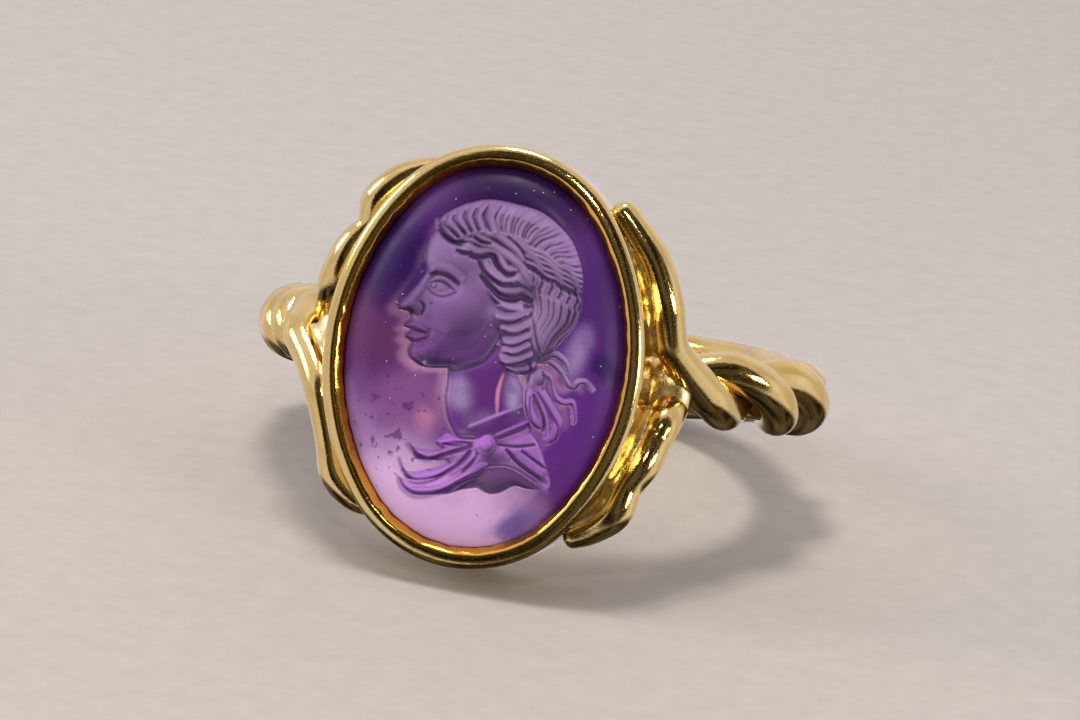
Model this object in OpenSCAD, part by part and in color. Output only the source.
// An intaglio ring: an oval carved stone in a closed gold bezel, on a hoop of two twisted wires
// whose ends part into four wavy branches along the bezel. Millimetres.
// The ring is drawn upright first: the finger goes through along Z, the stone faces -Y and the
// middle of the finger hole is at the origin. rest_on_side() then lays it on its side.

/* [Finger hole] */
// Inside diameter of the hoop
finger_d = 18; // [16:0.5:20]
// Width of the smooth inner wall that touches the finger
finger_wall_w = 2.4; // [2:0.1:2.6]

/* [Stone] */
// Visible height of the stone, along the finger
stone_long = 15.6; // [14.6:0.1:16.6]
// Visible width of the stone, across the finger
stone_wide = 11.6; // [10.8:0.1:12.4]
// Radius of the oval's top and bottom arcs
oval_end_r = 4.75; // [4.4:0.05:5]
// Thickness of the stone, back to table
stone_thick = 2.95; // [2.6:0.05:3.1]
// Clearance all round between the stone and its seat
stone_gap = 0.05; // [0.03:0.01:0.08]

/* [Bezel] */
// Distance from the middle of the finger hole to the crest of the rim
rim_from_centre = 12.8; // [12.6:0.1:13.2]
// Width of the rim outside the visible stone
rim_w = 0.88; // [0.8:0.02:1]
// Height of the bezel, back plate to rim crest
bezel_h = 3.5; // [3.4:0.05:3.6]
// Thickness of the closed back plate
back_plate_t = 0.7; // [0.6:0.05:0.8]

/* [Hoop] */
// Radius of each of the two twisted wires
wire_r = 0.75; // [0.65:0.01:0.78]
// Distance of each wire's centre from the middle of the twist
twist_r = 0.83; // [0.8:0.01:0.9]
// Radius of the hoop at the middle of the twist
twist_centre_r = 10.78; // [10.7:0.02:11]
// Hoop angle of half a turn on the right, seen from the front
right_half_turn = 22; // [18:1:26]
// Hoop angle of half a turn on the left, where the twist is tighter
left_half_turn = 11; // [10:1:14]
// Hoop angle from the front at which the twist gives way to the plain band
twist_end = 106; // [100:1:112]
// Width of the plain band at the back
band_w = 3.76; // [3.4:0.1:4]
// Thickness of the plain band at the back
band_t = 1.95; // [1.7:0.05:2.1]

/* [Branches] */
// Height of the four branches together, tip to tip
branch_span = 15.3; // [15:0.1:15.6]

/* [Resting pose] */
// How far the stone leans back to face upward when the ring lies on its side
rest_lean = 18.5; // [16:0.5:21]
// How far the ring rolls to one side as it settles
rest_roll = -2; // [-5:0.5:5]
// Middle of the laid ring, which moves to the origin: across, along and up to the lowest point
rest_middle = [0, -1.97, -5.14];

/* [Hidden] */
arc_steps = 60;

gold = "goldenrod";
amethyst = "mediumpurple";

finger_r = finger_d / 2;
half_long = stone_long / 2;
half_wide = stone_wide / 2;

// The oval is drawn with four arcs: two at the ends and two along the sides
end_arc_y = half_long - oval_end_r;
side_r = (pow(end_arc_y, 2) + pow(half_wide, 2) - pow(oval_end_r, 2)) / (2 * (half_wide - oval_end_r));
side_arc_x = side_r - half_wide;
joint_angle = atan2(end_arc_y, side_arc_x);

// Bezel section: "out" is the distance outside the visible stone
wall_out = rim_w - 0.15;
seat_out = 0.3;
rim_bead_r = 0.46;
rim_bead_low = -50;
rim_bead_high = 80;
lip_depth = 0.34;
lip_t = 0.1;
bevel_h = 0.6;
bead_steps = 6;
plate_out = seat_out + 0.2;
seat_clear_out = 0.1;

// Stone section
girdle_out = seat_out - stone_gap;
table_in = 1.6;
girdle_bevel = 0.12;
stone_back = back_plate_t + stone_gap;
girdle_top = bezel_h - lip_depth - bevel_h - stone_gap;
lip_clear_in = 0.08;
lip_clear = 0.02;
table_h = stone_back + stone_thick;

// The stone's surface is a net of rings and spokes, with spokes counted for each arc's quarter
table_rings = 26;
side_spokes = 18;
end_spokes = 12;

// The stone's low dome between the lip and the flat table: each row is the distance inside the
// visible edge and the drop below the table
INSIDE = 0;
DROP = 1;
dome = [
    [0.45, 0.30],
    [0.95, 0.09],
];

// Hoop: the ring of wall round the finger hole, the core inside the twist and the plain band
bored_away = 0.2;
finger_wall_t = 0.65;
bore_h = 8;
core_t = 1.7;
core_w = 2;
core_start = 36;
core_end = twist_end - 2;
band_start = twist_end - 3;
band_corner_r = 0.55;

// Twist
twist_start_right = 46;
twist_start_left = 50;
right_low_at = 57;
left_low_at = 60.4;
twist_step = 3;
left_twist_step = 2.2;
taper_angle = 6;
taper_drop = 0.9;
taper_thin = 0.3;
wire_sides = 10;
path_steps = 2;

// Solder
shoulder_at = [6.85, -9.1, -0.1];
shoulder_r = 1.6;
web_inset = 0.42;
web_behind = 0.25;
web_thin = 0.85;

function unit(v) = v / norm(v);
function place(row) = [row[0], row[1], row[2]];
function arc(centre, r, from, to, steps) =
    [for (i = [0 : steps])
        let (a = from + (to - from) * i / steps) centre + r * [cos(a), sin(a)]];

// A smooth curve through rows of [x, y, z, radius]
function between(a, b, c, d, t) =
    0.5 * (2 * b + (c - a) * t + (2 * a - 5 * b + 4 * c - d) * t * t
        + (3 * b - a - 3 * c + d) * t * t * t);
function smooth(rows, steps) =
    let (last = len(rows) - 1)
    concat(
        [for (i = [0 : last - 1], k = [0 : steps - 1])
            between(rows[max(i - 1, 0)], rows[i], rows[i + 1], rows[min(i + 2, last)], k / steps)],
        [rows[last]]);

// Four branches: each row is height, distance outside the rim, distance behind the rim, radius
HEIGHT = 0;
OUT = 1;
BEHIND = 2;
RADIUS = 3;
upper_right_branch = [
    [6.9, 0.30, 1.9, 0.42],
    [6.0, 0.38, 1.9, 0.55],
    [4.7, 0.62, 2.0, 0.68],
    [3.2, 0.66, 2.2, 0.70],
    [2.2, 0.60, 2.5, 0.70],
    [1.3, 0.72, 3.0, 0.70],
];
lower_right_branch = [
    [-7.2, 0.25, 2.1, 0.42],
    [-6.3, 0.55, 2.1, 0.60],
    [-5.2, 0.85, 2.0, 0.70],
    [-4.2, 0.62, 2.1, 0.64],
    [-3.2, 0.72, 2.3, 0.70],
    [-2.2, 0.70, 3.0, 0.70],
];
upper_left_branch = [
    [7.5, 0.10, 1.9, 0.40],
    [6.6, 0.50, 1.9, 0.60],
    [5.5, 0.65, 2.0, 0.66],
    [4.6, 0.32, 2.2, 0.55],
    [3.6, 0.50, 2.2, 0.66],
    [2.4, 0.62, 2.4, 0.70],
    [1.4, 0.75, 3.2, 0.70],
];
lower_left_branch = [
    [-7.0, 0.05, 2.2, 0.40],
    [-6.4, 0.50, 2.2, 0.58],
    [-5.5, 0.75, 2.2, 0.66],
    [-4.5, 0.55, 2.2, 0.60],
    [-3.4, 0.48, 2.2, 0.62],
    [-2.3, 0.62, 2.4, 0.70],
    [-1.2, 1.15, 3.0, 0.70],
    [-0.2, 2.00, 3.9, 0.70],
];

// The carving, seen from the front: each row is one engraved hollow, with the place of its
// middle, its half width and half height, its lean to the left in degrees and its depth
ACROSS = 0;
UP = 1;
HALF_WIDE = 2;
HALF_HIGH = 3;
LEAN = 4;
DEEP = 5;
hair = [
    [0.75, 3.6, 3.05, 2.75, 12, 0.88],
    [2.5, 1.9, 1.3, 1.4, -15, 0.66],
    [0.95, 1.1, 0.55, 1.4, 5, 0.60],
];
face = [
    [-0.95, 2.3, 2.1, 2.9, 0, 0.62],
    [-1.2, 0.4, 1.7, 1.15, 15, 0.55],
    [-3.0, 1.95, 0.55, 1.0, -20, 0.42],
    [-2.85, 0.85, 0.45, 0.3, 0, 0.42],
    [-2.75, 0.35, 0.42, 0.3, 0, 0.4],
    [-2.2, -0.2, 0.65, 0.5, 0, 0.45],
    [-2.1, 2.75, 0.45, 0.26, 0, 0.66],
];
neck = [
    [0.3, -1.5, 1.6, 2.6, -8, 0.56],
];
drape = [
    [-1.2, -4.35, 1.75, 0.85, 25, 0.5],
    [0.6, -3.95, 2.0, 1.25, 0, 0.58],
    [2.3, -4.0, 1.55, 0.7, -28, 0.48],
    [0.4, -4.95, 2.0, 0.8, 0, 0.46],
    [0.8, -3.4, 0.5, 0.5, 0, 0.72],
];
ribbon = [
    [2.45, -0.55, 0.6, 0.5, 0, 0.42],
    [3.6, -0.4, 1.1, 0.3, -4, 0.28],
    [3.4, -1.35, 1.25, 0.3, -48, 0.28],
    [2.95, -1.75, 0.5, 1.15, 14, 0.38],
];
carving = concat(hair, face, neck, drape, ribbon);

// Depth of one hollow under the table, and of the whole carving, at a place on the stone. A
// higher blend keeps the ridges between neighbouring hollows sharper
carve_blend = 5;
function hollow_depth(row, x, y) =
    let (right = x - row[ACROSS], above = y - row[UP],
        wide = (right * cos(row[LEAN]) + above * sin(row[LEAN])) / row[HALF_WIDE],
        high = (above * cos(row[LEAN]) - right * sin(row[LEAN])) / row[HALF_HIGH],
        inside = 1 - wide * wide - high * high)
    row[DEEP] * (inside > 0 ? inside * (2 - inside) : 2 * inside);
function carved_depth(x, y) =
    let (powers = [for (row = carving) pow(max(0, hollow_depth(row, x, y)), carve_blend)])
    pow(powers * [for (power = powers) 1], 1 / carve_blend);

// Seen from the front the wire centres follow this rule: side is 1 on the right and -1 on the
// left, at is the hoop angle from the front, and turn is 0 where a wire is farthest out
function thinning(at) = max(0, (at - twist_end + taper_angle) / taper_angle);
function twist_row(side, at, turn) =
    let (reach = twist_centre_r - taper_drop * thinning(at) + twist_r * cos(turn))
    [side * reach * sin(at), -reach * cos(at), twist_r * sin(turn), wire_r - taper_thin * thinning(at)];
function twist(side, start, step, low_at, half_turn, lead) =
    [for (at = [start : step : twist_end])
        twist_row(side, at, lead - 90 - side * (at - low_at) * 180 / half_turn)];

function rim_point(side, row) =
    let (a = half_wide + rim_w, b = half_long + rim_w, z = row[HEIGHT],
        x = a * sqrt(1 - pow(z / b, 2)), outward = unit([x / a / a, z / b / b]))
    [side * (x + row[OUT] * outward[0]), row[BEHIND] - rim_from_centre, z + row[OUT] * outward[1], row[RADIUS]];
function branch(side, rows) = [for (row = rows) rim_point(side, row)];

module swept_wire(rows) {
    count = len(rows);
    points = [for (i = [0 : count - 1])
        let (here = place(rows[i]),
            along = unit(place(rows[min(i + 1, count - 1)]) - place(rows[max(i - 1, 0)])),
            radial = unit([here[0], here[1], 0]),
            across = unit(radial - (radial * along) * along),
            aside = cross(along, across))
        for (k = [0 : wire_sides - 1])
            let (a = 360 * k / wire_sides) here + rows[i][3] * (across * cos(a) + aside * sin(a))];
    sides = [for (i = [0 : count - 2], k = [0 : wire_sides - 1])
        let (a = i * wire_sides + k, b = i * wire_sides + (k + 1) % wire_sides)
        each [[a, a + wire_sides, b + wire_sides], [a, b + wire_sides, b]]];
    first_cap = [for (k = [0 : wire_sides - 1]) k];
    last_cap = [for (k = [wire_sides - 1 : -1 : 0]) (count - 1) * wire_sides + k];
    polyhedron(points, concat(sides, [first_cap, last_cap]));
}

// A branch with the solder that fills the trough between it and the bezel's wall
module branch_wire(side, rows, turns) {
    solder = [for (row = rows)
        [row[HEIGHT], row[OUT] - web_inset, row[BEHIND] + web_behind, row[RADIUS] * web_thin]];
    swept_wire(smooth(branch(side, solder), path_steps));
    swept_wire(concat(smooth(branch(side, rows), path_steps), turns));
}

// The four wires, brought to their height from tip to tip
module twisted_wires() {
    resize([0, 0, branch_span])
        difference() {
            union() {
                branch_wire(1, upper_right_branch,
                    twist(1, twist_start_right, twist_step, right_low_at, right_half_turn, 0));
                branch_wire(1, lower_right_branch,
                    twist(1, twist_start_right, twist_step, right_low_at, right_half_turn, 180));
                branch_wire(-1, upper_left_branch,
                    twist(-1, twist_start_left, left_twist_step, left_low_at, left_half_turn, 180));
                branch_wire(-1, lower_left_branch,
                    twist(-1, twist_start_left, left_twist_step, left_low_at, left_half_turn, 0));
            }
            on_hoop()
                kept_free(seat_out + 0.28);
        }
}

// Sweeps a section round the oval: its x is the distance outside the visible stone
module oval_sweep() {
    for (flip = [0, 180])
        rotate([0, 0, flip]) {
            translate([-side_arc_x, 0, 0])
                rotate_extrude(start = -joint_angle, angle = 2 * joint_angle, $fn = arc_steps)
                    translate([side_r, 0])
                        children();
            for (mirrored = [0, 1])
                mirror([0, mirrored, 0])
                    translate([0, end_arc_y, 0])
                        rotate_extrude(start = joint_angle, angle = 90 - joint_angle, $fn = arc_steps)
                            translate([oval_end_r, 0])
                                children();
        }
}

// A flat oval that reaches a distance outside the visible stone
module oval_plate(out, thick) {
    joint_y = end_arc_y + (oval_end_r + out) * sin(joint_angle);
    intersection() {
        translate([-side_arc_x, 0, 0])
            cylinder(r = side_r + out, h = thick, $fn = arc_steps);
        translate([side_arc_x, 0, 0])
            cylinder(r = side_r + out, h = thick, $fn = arc_steps);
        translate([-half_long, -joint_y, 0])
            cube([stone_long, 2 * joint_y, thick]);
    }
    for (flip = [-1, 1])
        translate([0, flip * end_arc_y, 0])
            cylinder(r = oval_end_r + out, h = thick, $fn = arc_steps);
}

// The bezel's own frame: its back plate on the XY plane, its face towards +Z
module on_hoop() {
    translate([0, bezel_h - rim_from_centre, 0])
        rotate([90, 0, 0])
            children();
}

// The stone's seat and part of the wall round it, where hoop, solder and wires end inside the metal
module kept_free(out) {
    translate([0, 0, back_plate_t / 2])
        oval_plate(out, bezel_h - lip_depth - bevel_h);
}

module bezel_section() {
    bead = [rim_w - rim_bead_r, bezel_h - rim_bead_r];
    polygon(concat(
        [[seat_out, 0], [wall_out, 0]],
        arc(bead, rim_bead_r, rim_bead_low, rim_bead_high, bead_steps),
        [[0, bezel_h - lip_depth], [0, bezel_h - lip_depth - lip_t],
            [seat_out, bezel_h - lip_depth - bevel_h]]));
}

module bezel() {
    oval_sweep()
        bezel_section();
    oval_plate(plate_out, back_plate_t);
}

// A stretch of hoop of the given section, between two hoop angles from the front on one side
module hoop_stretch(from, to, side) {
    rotate_extrude(start = side > 0 ? from - 90 : 270 - to, angle = to - from, $fn = arc_steps)
        children();
}

module hoop() {
    rotate_extrude($fn = arc_steps)
        translate([finger_r - bored_away, -finger_wall_w / 2])
            square([bored_away + finger_wall_t, finger_wall_w]);
    for (side = [-1, 1])
        hoop_stretch(core_start, core_end, side)
            translate([finger_r - bored_away, -core_w / 2])
                square([bored_away + core_t, core_w]);
    band();
}

module band() {
    inner = finger_r + band_corner_r;
    outer = finger_r + band_t - band_corner_r;
    top = band_w / 2 - band_corner_r;
    hoop_stretch(band_start, 360 - band_start, 1)
        polygon(concat(
            arc([inner, -top], band_corner_r, 180, 270, 3),
            arc([outer, -top], band_corner_r, 270, 360, 3),
            arc([outer, top], band_corner_r, 0, 90, 3),
            arc([inner, top], band_corner_r, 90, 180, 3)));
}

// Lumps of solder where the hoop meets the bezel
module shoulders() {
    for (side = [-1, 1])
        translate([side * shoulder_at[0], shoulder_at[1], shoulder_at[2]])
            sphere(r = shoulder_r, $fn = arc_steps);
}

module finger_hole() {
    cylinder(r = finger_r, h = bore_h, center = true, $fn = arc_steps);
}

// Leans and rolls the ring into the place where it lies still on its side
module rest_on_side() {
    translate(-rest_middle)
        rotate([-rest_lean, rest_roll, 0])
            children();
}

module gold_mount() {
    color(gold)
        rest_on_side()
            difference() {
                union() {
                    on_hoop()
                        bezel();
                    difference() {
                        union() {
                            hoop();
                            shoulders();
                        }
                        on_hoop()
                            kept_free(plate_out);
                    }
                    twisted_wires();
                }
                finger_hole();
                on_hoop()
                    translate([0, 0, back_plate_t])
                        oval_plate(seat_clear_out, bezel_h);
            }
}

// A point of the oval at a distance outside the visible stone, where its outward normal has an angle
function oval_point(out, angle) =
    abs(sin(angle)) < sin(joint_angle)
        ? [sign(cos(angle)) * ((side_r + out) * abs(cos(angle)) - side_arc_x), (side_r + out) * sin(angle)]
        : [(oval_end_r + out) * cos(angle), sign(sin(angle)) * end_arc_y + (oval_end_r + out) * sin(angle)];
function carved(at, height) = [at[0], at[1], height - carved_depth(at[0], at[1])];

module intaglio_stone() {
    quarter = concat(
        [for (i = [0 : side_spokes - 1]) joint_angle * i / side_spokes],
        [for (i = [0 : end_spokes - 1]) joint_angle + (90 - joint_angle) * i / end_spokes]);
    half = concat(quarter, [90], [for (i = [len(quarter) - 1 : -1 : 1]) 180 - quarter[i]]);
    spokes = concat(half, [for (angle = half) angle + 180]);
    edge = [
        [-lip_clear_in, bezel_h - lip_depth - lip_t - lip_clear],
        [girdle_out, girdle_top],
        [girdle_out, stone_back + girdle_bevel],
        [girdle_out - girdle_bevel, stone_back],
    ];
    points = concat(
        [carved([0, 0], table_h)],
        [for (ring = [1 : table_rings], angle = spokes)
            carved(oval_point(-table_in, angle) * ring / table_rings, table_h)],
        [for (i = [len(dome) - 1 : -1 : 0], angle = spokes)
            carved(oval_point(-dome[i][INSIDE], angle), table_h - dome[i][DROP])],
        [for (row = edge, angle = spokes) concat(oval_point(row[0], angle), [row[1]])]);
    count = len(spokes);
    rings = (len(points) - 1) / count;
    first = 1;
    faces = concat(
        [for (k = [0 : count - 1]) [0, first + (k + 1) % count, first + k]],
        [for (ring = [0 : rings - 2], k = [0 : count - 1])
            let (a = first + ring * count + k, b = first + ring * count + (k + 1) % count)
            each [[a, b, b + count], [a, b + count, a + count]]],
        [[for (k = [0 : count - 1]) first + (rings - 1) * count + k]]);
    color(amethyst)
        rest_on_side()
            on_hoop()
                polyhedron(points, faces);
}

gold_mount();
intaglio_stone();
